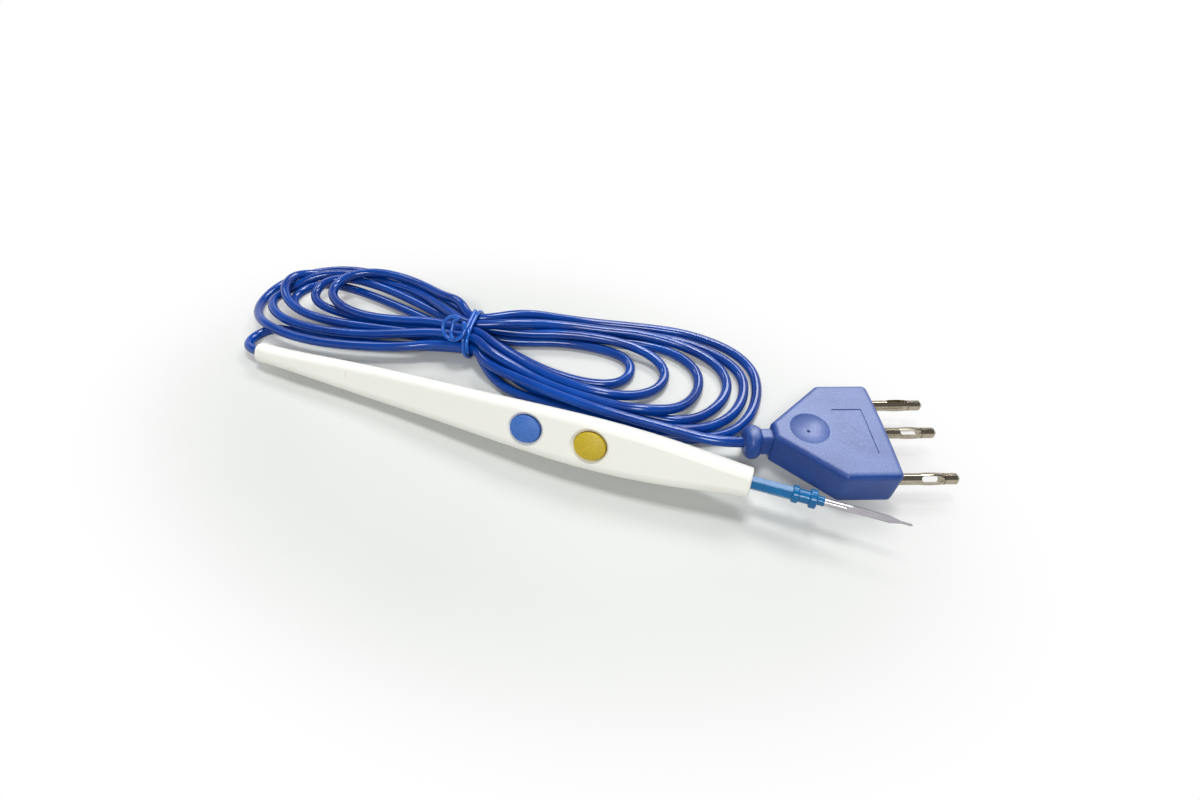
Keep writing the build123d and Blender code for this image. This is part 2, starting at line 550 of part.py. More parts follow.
NECK_END = PLUG_BODY_LENGTH + NECK_LENGTH
PLUG_END = NECK_END + BEAD_LENGTH
plug_cores = {}
for place, (pin_name, across) in enumerate(PIN_PLACES.items()):
    start = Vector(0, CORE_SPREAD, 0).rotate(Axis.X, 120 * place)
    plug_cores[pin_name.replace("pin", "plug_core")] = round_wire(
        [(-PLUG_END, start.Y, PIN_HEIGHT + start.Z),
         (-PLUG_BODY_LENGTH, start.Y, PIN_HEIGHT + start.Z),
         (-PIN_INSIDE - 6, across, PIN_HEIGHT), (-PIN_INSIDE, across, PIN_HEIGHT)], CORE_D)

with BuildPart() as plug_housing:
    with BuildSketch() as plug_outline:
        with BuildLine():
            ThreePointArc((0, -PLUG_WIDTH / 2), (PLUG_FACE_BULGE, 0), (0, PLUG_WIDTH / 2))
            Polyline((0, PLUG_WIDTH / 2), (-PLUG_STRAIGHT, PLUG_WIDTH / 2),
                     (-PLUG_BODY_LENGTH, PLUG_TAIL_WIDTH / 2),
                     (-PLUG_BODY_LENGTH, -PLUG_TAIL_WIDTH / 2),
                     (-PLUG_STRAIGHT, -PLUG_WIDTH / 2), (0, -PLUG_WIDTH / 2))
        make_face()
        fillet(plug_outline.vertices().filter_by_position(Axis.X, -PLUG_STRAIGHT - 1, 1),
               PLUG_CORNER)
    extrude(amount=PLUG_THICKNESS)
    fillet(plug_housing.faces().sort_by(Axis.Z)[-1].edges(), PLUG_EDGE)
    fillet(plug_housing.faces().sort_by(Axis.Z)[0].edges(), PLUG_EDGE)
    with BuildSketch(Plane.YZ.offset(-PLUG_BODY_LENGTH)):
        with Locations((0, PIN_HEIGHT)):
            RectangleRounded(NECK_WIDTH, NECK_HEIGHT, 1.6)
    extrude(amount=-NECK_LENGTH - 0.5)
    with BuildSketch(Plane.YZ.offset(-NECK_END)) as bead_circle:
        with Locations((0, PIN_HEIGHT)):
            Circle(BEAD_D / 2)
    extrude(amount=-BEAD_LENGTH)
    bead_edges = plug_housing.edges().filter_by(GeomType.CIRCLE).filter_by(
        lambda edge: edge.radius > BEAD_D / 2 - 0.1 and edge.center().X < -NECK_END + 1)
    fillet(bead_edges, BEAD_ROUND)
    dimple_radius = ((DIMPLE_D / 2) ** 2 + DIMPLE_DEPTH ** 2) / (2 * DIMPLE_DEPTH)
    with Locations((-DIMPLE_FROM_FACE, 0, PLUG_THICKNESS - DIMPLE_DEPTH + dimple_radius)):
        Sphere(dimple_radius, mode=Mode.SUBTRACT)
    with BuildSketch(Plane.XY.offset(PLUG_THICKNESS - DIMPLE_DEPTH - GATE_DEPTH)):
        with Locations((-DIMPLE_FROM_FACE, 0)):
            Circle(GATE_D / 2)
    extrude(amount=PLUG_THICKNESS, mode=Mode.SUBTRACT)
    with BuildSketch(Plane.XY.offset(PLUG_THICKNESS - PANEL_DEPTH)):
        with Locations((-PANEL_FROM_FACE, PANEL_ACROSS)):
            RectangleRounded(PANEL_LENGTH, PANEL_WIDTH, 0.6)
    extrude(amount=PLUG_THICKNESS, mode=Mode.SUBTRACT)
    for piece in (*pins.values(), *plug_cores.values()):
        add(piece.part, mode=Mode.SUBTRACT)

plug = {"plug_housing": plug_housing, **pins, **plug_cores}
set_down = Location((PLUG_X, PLUG_Y, 0), (0, 0, PLUG_YAW))
for piece in plug.values():
    piece.part.move(set_down)

# Free stretches of the lead: straight out of each exit, then along the points above
tail_exit = laid_down * Location((-HANDLE_LENGTH, 0, 0))
tail_step = laid_down * Location((-HANDLE_LENGTH - LEAD_STRAIGHT, 0, 0))
handle_lead = round_wire([tuple(tail_exit.position), tuple(tail_step.position), *TAIL_LEAD],
                         CABLE_D)
plug_exit = set_down * Location((-PLUG_END, 0, PIN_HEIGHT))
plug_step = set_down * Location((-PLUG_END - PLUG_STRAIGHT_LEAD, 0, PIN_HEIGHT))
plug_lead = round_wire([tuple(plug_exit.position), tuple(plug_step.position), *PLUG_LEAD],
                       CABLE_D)

# Hank: one closed solid of the outer shape of its two lobes and the waist in the tie
waist_plane = Plane((TIE_X, TIE_Y, FLOOR_CLEAR + TIE_WIRE_D + TIE_CLEAR + TIED_HIGH / 2),
                    x_dir=(-sin(radians(TIE_YAW)), cos(radians(TIE_YAW)), 0),
                    z_dir=(cos(radians(TIE_YAW)), sin(radians(TIE_YAW)), 0))
with BuildPart() as cable_hank:
    for lobe in (LEFT_LOBE, RIGHT_LOBE):
        with BuildSketch():
            with BuildLine():
                Spline(*lobe, periodic=True)
            make_face()
        extrude(amount=LOBE_HIGH)
    fillet(cable_hank.edges().group_by(Axis.Z)[-1], LOBE_EDGE)
    with BuildSketch(waist_plane.offset(-TIED_LENGTH / 2)):
        RectangleRounded(TIED_ACROSS, TIED_HIGH, TIED_HIGH / 2 - 0.1)
    extrude(amount=TIED_LENGTH)

# Twist tie: a plastic-coated wire round the waist, its twisted end curled on top
TIE_HIGH = TIED_HIGH + 2 * TIE_CLEAR + 2 * TIE_WIRE_D
TIE_ACROSS = TIED_ACROSS + 2 * TIE_CLEAR + 2 * TIE_WIRE_D
with BuildPart() as twist_tie:
    with BuildSketch(waist_plane.offset(-TIE_WIRE_D / 2)):
        RectangleRounded(TIE_ACROSS, TIE_HIGH, TIE_HIGH / 2 - 0.1)
        RectangleRounded(TIE_ACROSS - 2 * TIE_WIRE_D, TIE_HIGH - 2 * TIE_WIRE_D,
                         TIED_HIGH / 2 - 0.1, mode=Mode.SUBTRACT)
    extrude(amount=TIE_WIRE_D)
    fillet(twist_tie.edges(), TIE_ROUND)
    with BuildLine(Plane((CURL_X, CURL_Y, FLOOR_CLEAR + TIE_HIGH - TIE_WIRE_D / 2))) as curl:
        Line((TIE_X - CURL_X, -CURL_D / 2), (0, -CURL_D / 2))
        CenterArc((0, 0), CURL_D / 2, -90, -CURL_TURN)
    with BuildSketch(Plane(curl.wire() @ 0, z_dir=curl.wire() % 0)):
        Circle(TIE_WIRE_D / 2)
    sweep(path=curl.wire())

cable = {"handle_lead": handle_lead, "cable_hank": cable_hank, "twist_tie": twist_tie,
         "plug_lead": plug_lead}

os.makedirs("parts", exist_ok=True)
for name, piece in {**pencil, **plug, **cable}.items():
    piece.part.label = name
    export_step(piece.part, f"parts/{name}.step")
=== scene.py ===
# %% [markdown]
# # A disposable electrosurgical pencil, dressed for its picture
# The CAD frame brings the two shells, the buttons, the electrode, the plug and its pins at
# their real size. This lesson adds what CAD leaves plain: the lead wound into a tied hank, the
# coated twist tie, and a finish for every surface. The lead and the camera come first, because
# everything else is judged against them.

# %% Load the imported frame
import json
import math

import bpy
import numpy as np
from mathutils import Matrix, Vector


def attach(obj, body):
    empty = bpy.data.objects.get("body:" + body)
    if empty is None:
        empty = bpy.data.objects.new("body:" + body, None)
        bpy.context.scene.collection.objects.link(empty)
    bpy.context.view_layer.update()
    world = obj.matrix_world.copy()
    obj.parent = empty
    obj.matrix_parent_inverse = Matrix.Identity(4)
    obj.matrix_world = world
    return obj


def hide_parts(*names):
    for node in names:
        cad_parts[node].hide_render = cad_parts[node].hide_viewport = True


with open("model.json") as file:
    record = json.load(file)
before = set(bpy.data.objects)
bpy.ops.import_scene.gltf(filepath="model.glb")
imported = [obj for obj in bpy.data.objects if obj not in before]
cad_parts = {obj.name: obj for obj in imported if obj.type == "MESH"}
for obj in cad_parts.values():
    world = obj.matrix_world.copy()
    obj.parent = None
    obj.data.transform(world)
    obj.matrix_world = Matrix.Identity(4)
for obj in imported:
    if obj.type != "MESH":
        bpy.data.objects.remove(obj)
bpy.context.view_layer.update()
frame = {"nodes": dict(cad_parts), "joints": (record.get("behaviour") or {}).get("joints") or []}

# %% [markdown]
# The pencil lies on its side, so many patterns follow the handle's own directions rather than
# the row's. The frame's joints already know them: the electrode pulls out along the handle,
# and each button presses into its face. The nose is the middle of the front end, where the
# electrode comes out, in metres.

# %% The handle's own directions
joint_axes = {joint["name"]: Vector(joint["axis"]) for joint in frame["joints"]}
FORWARD = joint_axes["electrode_pull"].normalized()
FACE_UP = -joint_axes["coag_press"].normalized()
ACROSS = FACE_UP.cross(FORWARD)
NOSE = Vector((0.07395, 0.00141, 0.01007))
print("forward", [round(value, 3) for value in FORWARD])
print("out of the face", [round(value, 3) for value in FACE_UP])

# %% [markdown]
# ## Camera
# The photograph looks down at about 47 degrees with the handle running from upper left to
# lower right. The camera's place, turn and lens were worked out from the plug's pins, whose
# spacing is a standard. Every operator acts on all that is selected, so a helper deselects
# everything first, here and before each new object.


# %% A clean selection
def deselect():
    """Nothing selected, because an operator acts on all that is."""
    if bpy.context.object and bpy.context.object.mode != "OBJECT":
        bpy.ops.object.mode_set(mode="OBJECT")
    bpy.ops.object.select_all(action="DESELECT")


deselect()
print("selected", len(bpy.context.selected_objects))

# %% Camera
CAMERA_PLACE = (0.06503, -0.11268, 0.162)
CAMERA_TILT = math.radians(42.5)
CAMERA_TURN = math.radians(20.08)
LENS = 17.4
deselect()
bpy.ops.object.camera_add(location=CAMERA_PLACE, rotation=(CAMERA_TILT, 0, CAMERA_TURN))
camera = bpy.context.object
camera.name = "camera"
camera.data.sensor_width = 36
camera.data.lens = LENS
camera.data.clip_start = 0.005
camera.data.dof.use_dof = False
bpy.context.scene.camera = camera
print("camera at", CAMERA_PLACE, "lens", LENS, "mm")

# %% [markdown]
# ## Lead
# The real lead is 3.8 mm of soft PVC, about 2.7 m long. It leaves the tail, turns back, and is
# wound in lobes to the left and right of a twist tie, six on each side, before it reaches the plug.
# It is limp, so it lies on the table or on the strand below it. It could be built as many tubes,
# but one cord is one line: a single NURBS spline whose points are laid one by one after the
# photograph, each lobe of its own size.
# In the tie the thirteen strands lie as they pack, four, five and four. Points are in
# millimetres in the row frame.

# %% Places in the tie
LEAD_THICK = 3.8
TIE_PLACE = (-45.0, 37.4)
TIE_TURN = math.radians(9)
LOW, MID, TOP = 3.4, 6.8, 10.2
SLOTS = {"a": (-5.85, LOW), "b": (-1.95, LOW), "c": (1.95, LOW), "d": (5.85, LOW),
         "e": (-7.8, MID), "f": (-3.9, MID), "g": (0.0, MID), "h": (3.9, MID), "i": (7.8, MID),
         "j": (-5.85, TOP), "k": (-1.95, TOP), "l": (1.95, TOP), "m": (5.85, TOP)}


def in_tie(side, height, along=0.0):
    """A place in the tied waist: to the side of its middle, up, and along it."""
    return (TIE_PLACE[0] + along * math.cos(TIE_TURN) - side * math.sin(TIE_TURN),
            TIE_PLACE[1] + along * math.sin(TIE_TURN) + side * math.cos(TIE_TURN), height)


print("places in the tie", len(SLOTS))

# %% [markdown]
# Each lobe is its own short list of points, so that it can be moved by itself when the render
# is held against the photograph. Those on the right are numbered from the smallest to the
# largest, and those on the left are lettered from the largest to the smallest.

# %% From the tail and round the right lobes
FROM_TAIL = ((-120.95, 1.41, 3.94), (-127.2, 1.41, 3.5), (-131.7, 5.9, 2.6),
             (-131.7, 12.5, 1.95), (-127.2, 17, 1.95), (-117, 17.8, 1.95), (-102, 18.9, 1.95),
             (-86, 21.4, 1.95), (-68, 26.4, 2.2), (-57, 29.4, 2.8))
RIGHT_LOBES = {
    1: ((-33, 35.4, 6), (-23, 33.4, 4.4), (-10, 31.2, 3), (4, 31.2, 1.9), (15, 33.4, 1.9),
        (20.6, 38.4, 1.9), (20.6, 45.6, 1.9), (15.2, 50.8, 1.9), (3, 52, 1.9), (-13, 50.4, 1.9),
        (-27, 44.9, 2.6)),
    2: ((-32, 31.9, 8.6), (-22, 29.8, 6.8), (-9, 26.4, 5.2), (5, 24, 5), (18, 25.4, 4.6),
        (27, 30.2, 3.2), (33.6, 37.4, 2.2), (34.6, 46.2, 2.2), (28.4, 52.8, 3.2),
        (16, 55.2, 4.8), (2, 54.2, 5.3), (-11, 51.8, 5.3), (-27, 46, 5.8)),
    3: ((-33, 28, 8.4), (-22, 25.4, 6.6), (-8, 23, 5.4), (8, 21.6, 5.3), (22, 21, 5.2),
        (35, 21.8, 4.4), (45, 29.4, 2.4), (48.6, 42.4, 1.9), (45, 53.4, 1.9), (33, 60.2, 1.9),
        (18, 60.2, 1.9), (2, 57, 1.9), (-12, 53.8, 1.9), (-28, 47.4, 3)),
    4: ((-32, 31.4, 3), (-22, 27.8, 2.2), (-8, 24.6, 1.9), (8, 24.2, 1.9), (24, 23.8, 1.9),
        (38, 23, 1.9), (50, 27, 1.9), (57.4, 37.4, 1.9), (58.6, 49.4, 1.9), (51.5, 59.2, 2.2),
        (37, 63.4, 3.4), (20, 62.4, 5), (4, 58.6, 5.3), (-12, 54, 6), (-28, 46.4, 8.4)),
    5: ((-33, 29.4, 5.2), (-23, 24.8, 3.4), (-9, 21, 1.9), (8, 20.4, 1.9), (24, 20.2, 1.9),
        (40, 19.8, 1.9), (54, 23.4, 1.9), (62.6, 32.9, 1.9), (65.2, 45.4, 1.9), (62, 56.9, 1.9),
        (51, 64.2, 1.9), (36, 67.4, 1.9), (20, 65.6, 1.9), (4, 61.6, 1.9), (-12, 57.2, 2.6),
        (-28, 50.4, 5.2)),
    6: ((-35, 27.4, 2.6), (-27.5, 21, 1.9), (-16, 17, 1.9), (0, 16.6, 1.9), (18, 16.6, 1.9),
        (36, 17, 1.9), (52, 19.4, 1.9), (64, 25.4, 1.9), (69.2, 36.4, 1.9), (69.6, 49.4, 1.9),
        (65.4, 61.4, 1.9), (54, 69.6, 1.9), (36, 72.8, 1.9), (18, 70.4, 1.9), (0, 66, 2.4),
        (-14, 61.4, 4.4), (-29, 53.8, 8.2)),
}
print("points in the right lobes", sum(len(points) for points in RIGHT_LOBES.values()))

# %% Round the left lobes and to the plug
LEFT_LOBES = {
    "F": ((-57, 45.4, 9.8), (-66, 50.4, 9.2), (-78, 55.6, 8.6), (-91, 58.6, 8.4),
          (-103, 57.6, 8.2), (-112.6, 52.6, 8), (-116.6, 45, 7.8), (-113.3, 37.4, 7.8),
          (-103, 31.8, 8), (-90, 30.6, 8), (-75, 33, 8.4), (-60, 36, 9.4)),
    "E": ((-60, 45.6, 6.4), (-78, 50.4, 5.8), (-98, 53.8, 5.4), (-117, 53.4, 4.6),
          (-125.2, 47.6, 4.1), (-125.6, 39.6, 4.2), (-118.6, 33.8, 4.6), (-106, 32.2, 4.8),
          (-92, 32.4, 4.8), (-76, 33.8, 4.8), (-60, 35, 6)),
    "D": ((-62, 42.4, 2.6), (-80, 45.6, 1.9), (-100, 49.2, 1.9), (-116, 51, 1.9),
          (-128.6, 50, 1.9), (-135, 44.4, 1.9), (-135, 36, 1.9), (-128.6, 30.2, 1.9),
          (-117, 28.4, 1.9), (-104, 28.2, 1.9), (-88, 30, 1.9), (-72, 32.4, 2.2), (-58, 34.2, 2.8)),
    "B": ((-60, 47.4, 8.2), (-80, 53.6, 6.4), (-102, 57.4, 5.4), (-121, 56.8, 5),
          (-134, 50.6, 4.6), (-140.5, 40.6, 4), (-140, 30.2, 4.6), (-132.5, 22.4, 5.4),
          (-121, 18.8, 5.7), (-106, 18.8, 5.8), (-88, 22, 6), (-72, 26.8, 7.4), (-58, 30.8, 9)),
    "C": ((-62, 48, 2.8), (-82, 55.8, 1.9), (-104, 60.8, 1.9), (-122, 59.6, 1.9),
          (-134, 53.8, 3.2), (-140, 45.4, 4.6), (-138.5, 36.2, 5.2), (-130, 29.2, 5.6),
          (-118, 25.4, 5.6), (-102, 25.4, 5.6), (-86, 28, 5.6), (-70, 30.4, 6),
          (-58, 32.4, 6.4)),
    "A": ((-62, 51, 5.2), (-84, 59.8, 3), (-108, 64.4, 1.9), (-126, 62.6, 1.9), (-140.5, 54, 1.9),
          (-147.4, 41.9, 1.9), (-146.2, 29.6, 2.2), (-139.6, 20, 3.8), (-129, 13.8, 5.3),
          (-115, 11.8, 5.7), (-99, 13, 5.7), (-83, 16.6, 5.8), (-68, 21.4, 6), (-57, 27, 6.4)),
}
TO_PLUG = ((-30, 25.4, 6.9), (-15, 21.8, 6.4), (4, 18.6, 6.1), (25, 16.8, 6.1), (46, 16.8, 6.3))
AT_PLUG = ((60.2, 16.06, 7), (68.63, 19.27, 7))
print("points in the left lobes", sum(len(points) for points in LEFT_LOBES.values()))

# %% [markdown]
# The winding order says which place of the tie each turn passes through, first on its way to
# the right and then on its way back to the left. The first points behind the tail, those in
# the tie and those at the plug are held, because something real holds the lead there.

# %% The whole route
WINDING = (("a", 6, "m", "F"), ("k", 2, "h", "E"), ("g", 1, "c", "D"), ("b", 4, "l", "B"),
           ("j", 3, "d", "C"), ("f", 5, "i", "A"))
HALF_WAIST, LEFT_WAIST = 4.0, 2.8
HELD_AT_TAIL = 6
route = list(FROM_TAIL)
held = [place < HELD_AT_TAIL for place in range(len(FROM_TAIL))]
for near, right_lobe, far, left_lobe in WINDING:
    route += [in_tie(*SLOTS[near], -LEFT_WAIST), in_tie(*SLOTS[near], HALF_WAIST)]
    held += [True, True]
    route += RIGHT_LOBES[right_lobe]
    held += [False] * len(RIGHT_LOBES[right_lobe])
    route += [in_tie(*SLOTS[far], HALF_WAIST), in_tie(*SLOTS[far], -LEFT_WAIST)]
    held += [True, True]
    route += LEFT_LOBES[left_lobe]
    held += [False] * len(LEFT_LOBES[left_lobe])
route += [in_tie(*SLOTS["e"], -LEFT_WAIST), in_tie(*SLOTS["e"], HALF_WAIST), *TO_PLUG, *AT_PLUG]
held += [True, True] + [False] * len(TO_PLUG) + [True, True]
route = np.array(route, float)
held = np.array(held)
print("lead has", len(route), "points, of which", held.sum(), "are held")

# %% [markdown]
# Points laid one by one leave strands pressed a little into each other. On the real lead they push
# each other aside, so the points are nudged the same way: wherever two stretches of the line come
# closer than the lead is thick, the points that shape them move apart, and none sinks below the
# table. First a table says how much each point pulls on each place of the smooth line, which is
# that of a NURBS spline of order 3.


# %% How the points pull on the line
def line_weights(count, per_span=8):
    """How much each point pulls on each place of the smooth line that follows them."""
    knots = [0, 0] + list(range(count - 1)) + [count - 2, count - 2]
    places = np.linspace(0, count - 2, (count - 2) * per_span + 1)
    spans = np.minimum(places.astype(int), count - 3)
    weights = np.zeros((len(places), count))
    for row, (place, span) in enumerate(zip(places, spans)):
        at = span + 2
        left, right = knots[at - 1:at + 1], knots[at + 1:at + 3]
        inner = (place - left[1]) / (right[0] - left[1])
        near = (place - left[0]) / (right[0] - left[0])
        far = (place - left[1]) / (right[1] - left[1])
        weights[row, span] = (1 - near) * (1 - inner)
        weights[row, span + 1] = near * (1 - inner) + (1 - far) * inner
        weights[row, span + 2] = far * inner
    return weights


print("places on the line", len(line_weights(len(route))))

# %% [markdown]
# Each round finds the places that are close and then nudges the points a few times. The gap
# is a hair more than the lead is thick, so that strands lie beside each other and don't
# merge. Places just beyond the gap are watched too, because they may come close in the same
# round, and a stretch isn't pushed by its own neighbours along the line. A point moves a
# little further than its places ask, because it only pulls a part of them.

# %% Let the strands settle beside each other
GAP = 3.85
WATCHED = GAP + 1.5
OWN_NEIGHBOURS = 3 * GAP
NUDGE = 2.2
MOST_SHARED = 3
TINY = 1e-9


def settle(points, held, rounds=25, steps=8):
    """Nudges the points until strands lie beside each other and on the table."""
    weights = line_weights(len(points))
    share = (weights / weights.sum(0)).T
    points = points.copy()
    for _ in range(rounds):
        line = weights @ points
        run = np.concatenate([[0], np.cumsum(np.linalg.norm(np.diff(line, axis=0), axis=1))])
        first, second = [], []
        for here in range(len(line) - 1):
            apart = np.linalg.norm(line[here + 1:] - line[here], axis=1)
            further = run[here + 1:] - run[here]
            near = np.nonzero((apart < WATCHED) & (further > OWN_NEIGHBOURS))[0]
            first.append(np.full(len(near), here))
            second.append(near + here + 1)
        first, second = np.concatenate(first), np.concatenate(second)
        for _ in range(steps):
            line = weights @ points
            way = line[first] - line[second]
            apart = np.linalg.norm(way, axis=1) + TINY
            short = np.maximum(GAP - apart, 0)
            push = way * (short / apart / 2)[:, None]
            move = np.zeros_like(line)
            np.add.at(move, first, push)
            np.add.at(move, second, -push)
            touching = np.zeros(len(line))
            np.add.at(touching, first, short > 0)
            np.add.at(touching, second, short > 0)
            move /= np.clip(touching, 1, MOST_SHARED)[:, None]
            sunk = line[:, 2] < LEAD_THICK / 2
            move[sunk, 2] += LEAD_THICK / 2 - line[sunk, 2]
            nudge = share @ move * NUDGE
            nudge[held] = 0
            points += nudge
            points[:, 2] = np.maximum(points[:, 2], LEAD_THICK / 2)
    line = weights @ points
    return points, np.linalg.norm(np.diff(line, axis=0), axis=1).sum()


route, lead_length = settle(route, held)
highest = route[:, 2].max() + LEAD_THICK / 2
print("lead length", round(lead_length), "mm, top", round(highest, 1), "mm")

# %% [markdown]
# A curve with a round bevel is the plain way to give the line its thickness, and it keeps the
# surface smooth round every bend. Each point carries the wire's own radius and the bevel is
# one, because Blender works out a curve's box from the points' radius.


# %% The lead as one curve
def smooth_line(name, points, thick):
    """A round wire along one NURBS line. Points and thickness in millimetres."""
    data = bpy.data.curves.new(name, "CURVE")
    data.dimensions = "3D"
    spline = data.splines.new("NURBS")
    spline.points.add(len(points) - 1)
    for point, place in zip(spline.points, points):
        point.co = (place[0] / 1000, place[1] / 1000, place[2] / 1000, 1)
        point.radius = thick / 2000
    spline.order_u = 3
    spline.use_endpoint_u = True
    data.resolution_u = 8
    data.bevel_depth = 1
    data.bevel_resolution = 6
    data.use_fill_caps = True
    wire = bpy.data.objects.new(name, data)
    bpy.context.collection.objects.link(wire)
    return wire


lead = smooth_line("lead", route, LEAD_THICK)
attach(lead, "handle")
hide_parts("handle_lead", "cable_hank", "plug_lead")
print("lead drawn", LEAD_THICK, "mm thick")

# %% [markdown]
# ## Twist tie
# A steel wire in soft blue plastic, 1.5 mm thick, goes round the waist of the hank about one
# and a half times and is left in an open curl with a short tail. It could be swept as a mesh,
# but it is a wire, so it is drawn as a line too, and then made a mesh. The places for one turn
# start under the waist, so the first half turn is skipped: the wire starts on top, goes down
# the near side, and its second pass lies beside the first.

# %% Twist tie round the waist
TIE_THICK = 1.5
AROUND_WAIST = ((-7.6, 0.72), (0, 0.7), (7.6, 0.72), (11.0, 5.0), (10.6, 9.4), (7.2, 12.9),
                (0, 13.0), (-7.2, 12.9), (-10.6, 9.4), (-11.0, 5.0))
TIE_PITCH = 1.5
WRAP_START = -0.9
PLACES_SKIPPED = 5
wrap = [in_tie(side, height, WRAP_START + TIE_PITCH * place / len(AROUND_WAIST))
        for place, (side, height) in enumerate(AROUND_WAIST * 2)][PLACES_SKIPPED:]
print("points round the waist", len(wrap))

# %% Curl of the tie
CURL_MIDDLE = Vector(in_tie(-6.8, 14.6, -3.2))
CURL_TILT = math.radians(48)
CURL_REACH = 4.7


def on_curl(angle, reach, lift=0.0):
    """A place on the tie's curl, which leans towards its near side."""
    angle = math.radians(angle)
    along, up = reach * math.cos(angle), reach * math.sin(angle)
    return tuple(CURL_MIDDLE + Vector((along, up * math.cos(CURL_TILT) - lift,
                                       up * math.sin(CURL_TILT) + lift)))


curl = [on_curl(angle, CURL_REACH, lift) for angle, lift in
        ((60, 0.0), (20, 0.2), (-20, 0.4), (-60, 0.6), (-100, 0.8), (-140, 0.9), (180, 1.0),
         (140, 1.0), (100, 1.0), (65, 1.1))]
tail_of_tie = [on_curl(angle, reach, lift) for angle, reach, lift in
               ((110, 3.0, 0.6), (120, 1.2, 0.6), (-120, 1.4, 0.7), (-100, 3.2, 0.9),
                (-70, 4.6, 1.6))]
print("points in the curl and its tail", len(curl + tail_of_tie))

# %% The tie as a mesh
def pick(piece):
    """Only this piece selected, and active."""
    deselect()
    piece.select_set(True)
    bpy.context.view_layer.objects.active = piece


twist_tie = smooth_line("twist_tie_wire", wrap + curl + tail_of_tie, TIE_THICK)
pick(twist_tie)
bpy.ops.object.convert(target="MESH")
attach(twist_tie, "handle")
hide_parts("twist_tie")
print("tie faces", len(twist_tie.data.polygons))

# %% [markdown]
# ## Finishes
# Each finish is a small node tree, since a real surface is never one flat colour. Hex colours are
# given, and one function turns them to the linear numbers that a shader takes.


# %% Colours
def linear(hex_colour):
    """An sRGB hex colour as linear red, green, blue and alpha."""
    parts = [int(hex_colour[place:place + 2], 16) / 255 for place in (1, 3, 5)]
    parts = [part / 12.92 if part <= 0.04045 else ((part + 0.055) / 1.055) ** 2.4
             for part in parts]
    return (*parts, 1.0)


print("mid grey is", round(linear("#808080")[0], 3))

# %% [markdown]
# One function adds a node with its settings, colour stops and sockets. A socket takes either
# a number or a link, and the surface shader's sockets are filled the same way. Object
# coordinates are in metres, so a noise whose grains are a number of millimetres across has a
# scale of a thousand over that number.


# %% Nodes
def set_sockets(tree, node, sockets):
    """Gives a node's sockets numbers, or links from other nodes."""
    for name, value in dict(sockets).items():
        if isinstance(value, bpy.types.NodeSocket):
            tree.links.new(value, node.inputs[name])
        else:
            node.inputs[name].default_value = value


def add(tree, kind, sockets=(), stops=(), **settings):
    """One node, with its settings, its colour stops and its sockets."""
    node = tree.nodes.new("ShaderNode" + kind)
    for name, value in settings.items():
        setattr(node, name, value)
    for number, (position, colour) in enumerate(stops):
        node.color_ramp.elements[number].position = position
        node.color_ramp.elements[number].color = linear(colour)
    set_sockets(tree, node, sockets)
    return node


MM = 1000.0
print("scale of a 1 mm grain", MM)


# %% Materials
def finish_of(name):
    """A new material with its tree, its surface shader and the place on the piece."""
    material = bpy.data.materials.new(name)
    material.use_nodes = True
    tree = material.node_tree
    return material, tree, tree.nodes["Principled BSDF"], add(tree, "TexCoord").outputs["Object"]


def wear(material, *names):
    """Gives the material to CAD nodes or pieces."""
    for name in names:
        piece = frame["nodes"].get(name) or bpy.data.objects[name]
        piece.data.materials.clear()
        piece.data.materials.append(material)
    print(material.name, "on", ", ".join(names))


# %% [markdown]
# ### White ABS shells
# The handle is moulded in ABS against a fine spark-eroded tool, so it is satin: broad soft
# highlights, a faint orange peel, and a colour that drifts very slightly. A thin line marks
# where the two shells meet, and the short mark near the tail is a moulded nick. They could be
# painted, but both follow the handle, so they are drawn from its own directions: a dot
# product gives how far a place lies from the nose, and a band marks all that lies near one
# distance.


# %% Bands across the handle
def from_nose(tree, place, direction):
    """How far the place lies from the nose in a direction, in metres."""
    offset = add(tree, "VectorMath", {0: place, 1: tuple(NOSE)}, operation="SUBTRACT")
    return add(tree, "VectorMath", {0: offset.outputs[0], 1: tuple(direction)},
               operation="DOT_PRODUCT").outputs["Value"]


def band(tree, distance, middle, full, gone):
    """1 up to full metres from the middle distance, falling to 0 at gone metres."""
    off = add(tree, "Math", {0: distance, 1: middle}, operation="SUBTRACT")
    near = add(tree, "Math", {0: off.outputs[0]}, operation="ABSOLUTE")
    return add(tree, "MapRange", {"Value": near.outputs[0], "From Min": full, "From Max": gone,
                                  "To Min": 1.0, "To Max": 0.0}).outputs[0]


# %% Seam and nick
NICK_ALONG, NICK_SIDE, NICK_LOWEST = -0.1505, 0.0011, 0.002
abs_white, tree, shader, place = finish_of("satin_white_abs")
along = from_nose(tree, place, FORWARD)
height = from_nose(tree, place, FACE_UP)
side = from_nose(tree, place, ACROSS)
seam = band(tree, height, 0.0, 0.00005, 0.0002)
nick_thin = band(tree, along, NICK_ALONG, 0.0001, 0.00025)
nick_long = band(tree, side, NICK_SIDE, 0.0008, 0.0018)
nick = add(tree, "Math", {0: nick_thin, 1: nick_long}, operation="MULTIPLY")
on_face = add(tree, "Math", {0: height, 1: NICK_LOWEST}, operation="GREATER_THAN")
nick_on_face = add(tree, "Math", {0: nick.outputs[0], 1: on_face.outputs[0]},
                   operation="MULTIPLY")
marks = add(tree, "Math", {0: seam, 1: nick_on_face.outputs[0]}, operation="MAXIMUM")
print("nodes for the marks", len(tree.nodes))

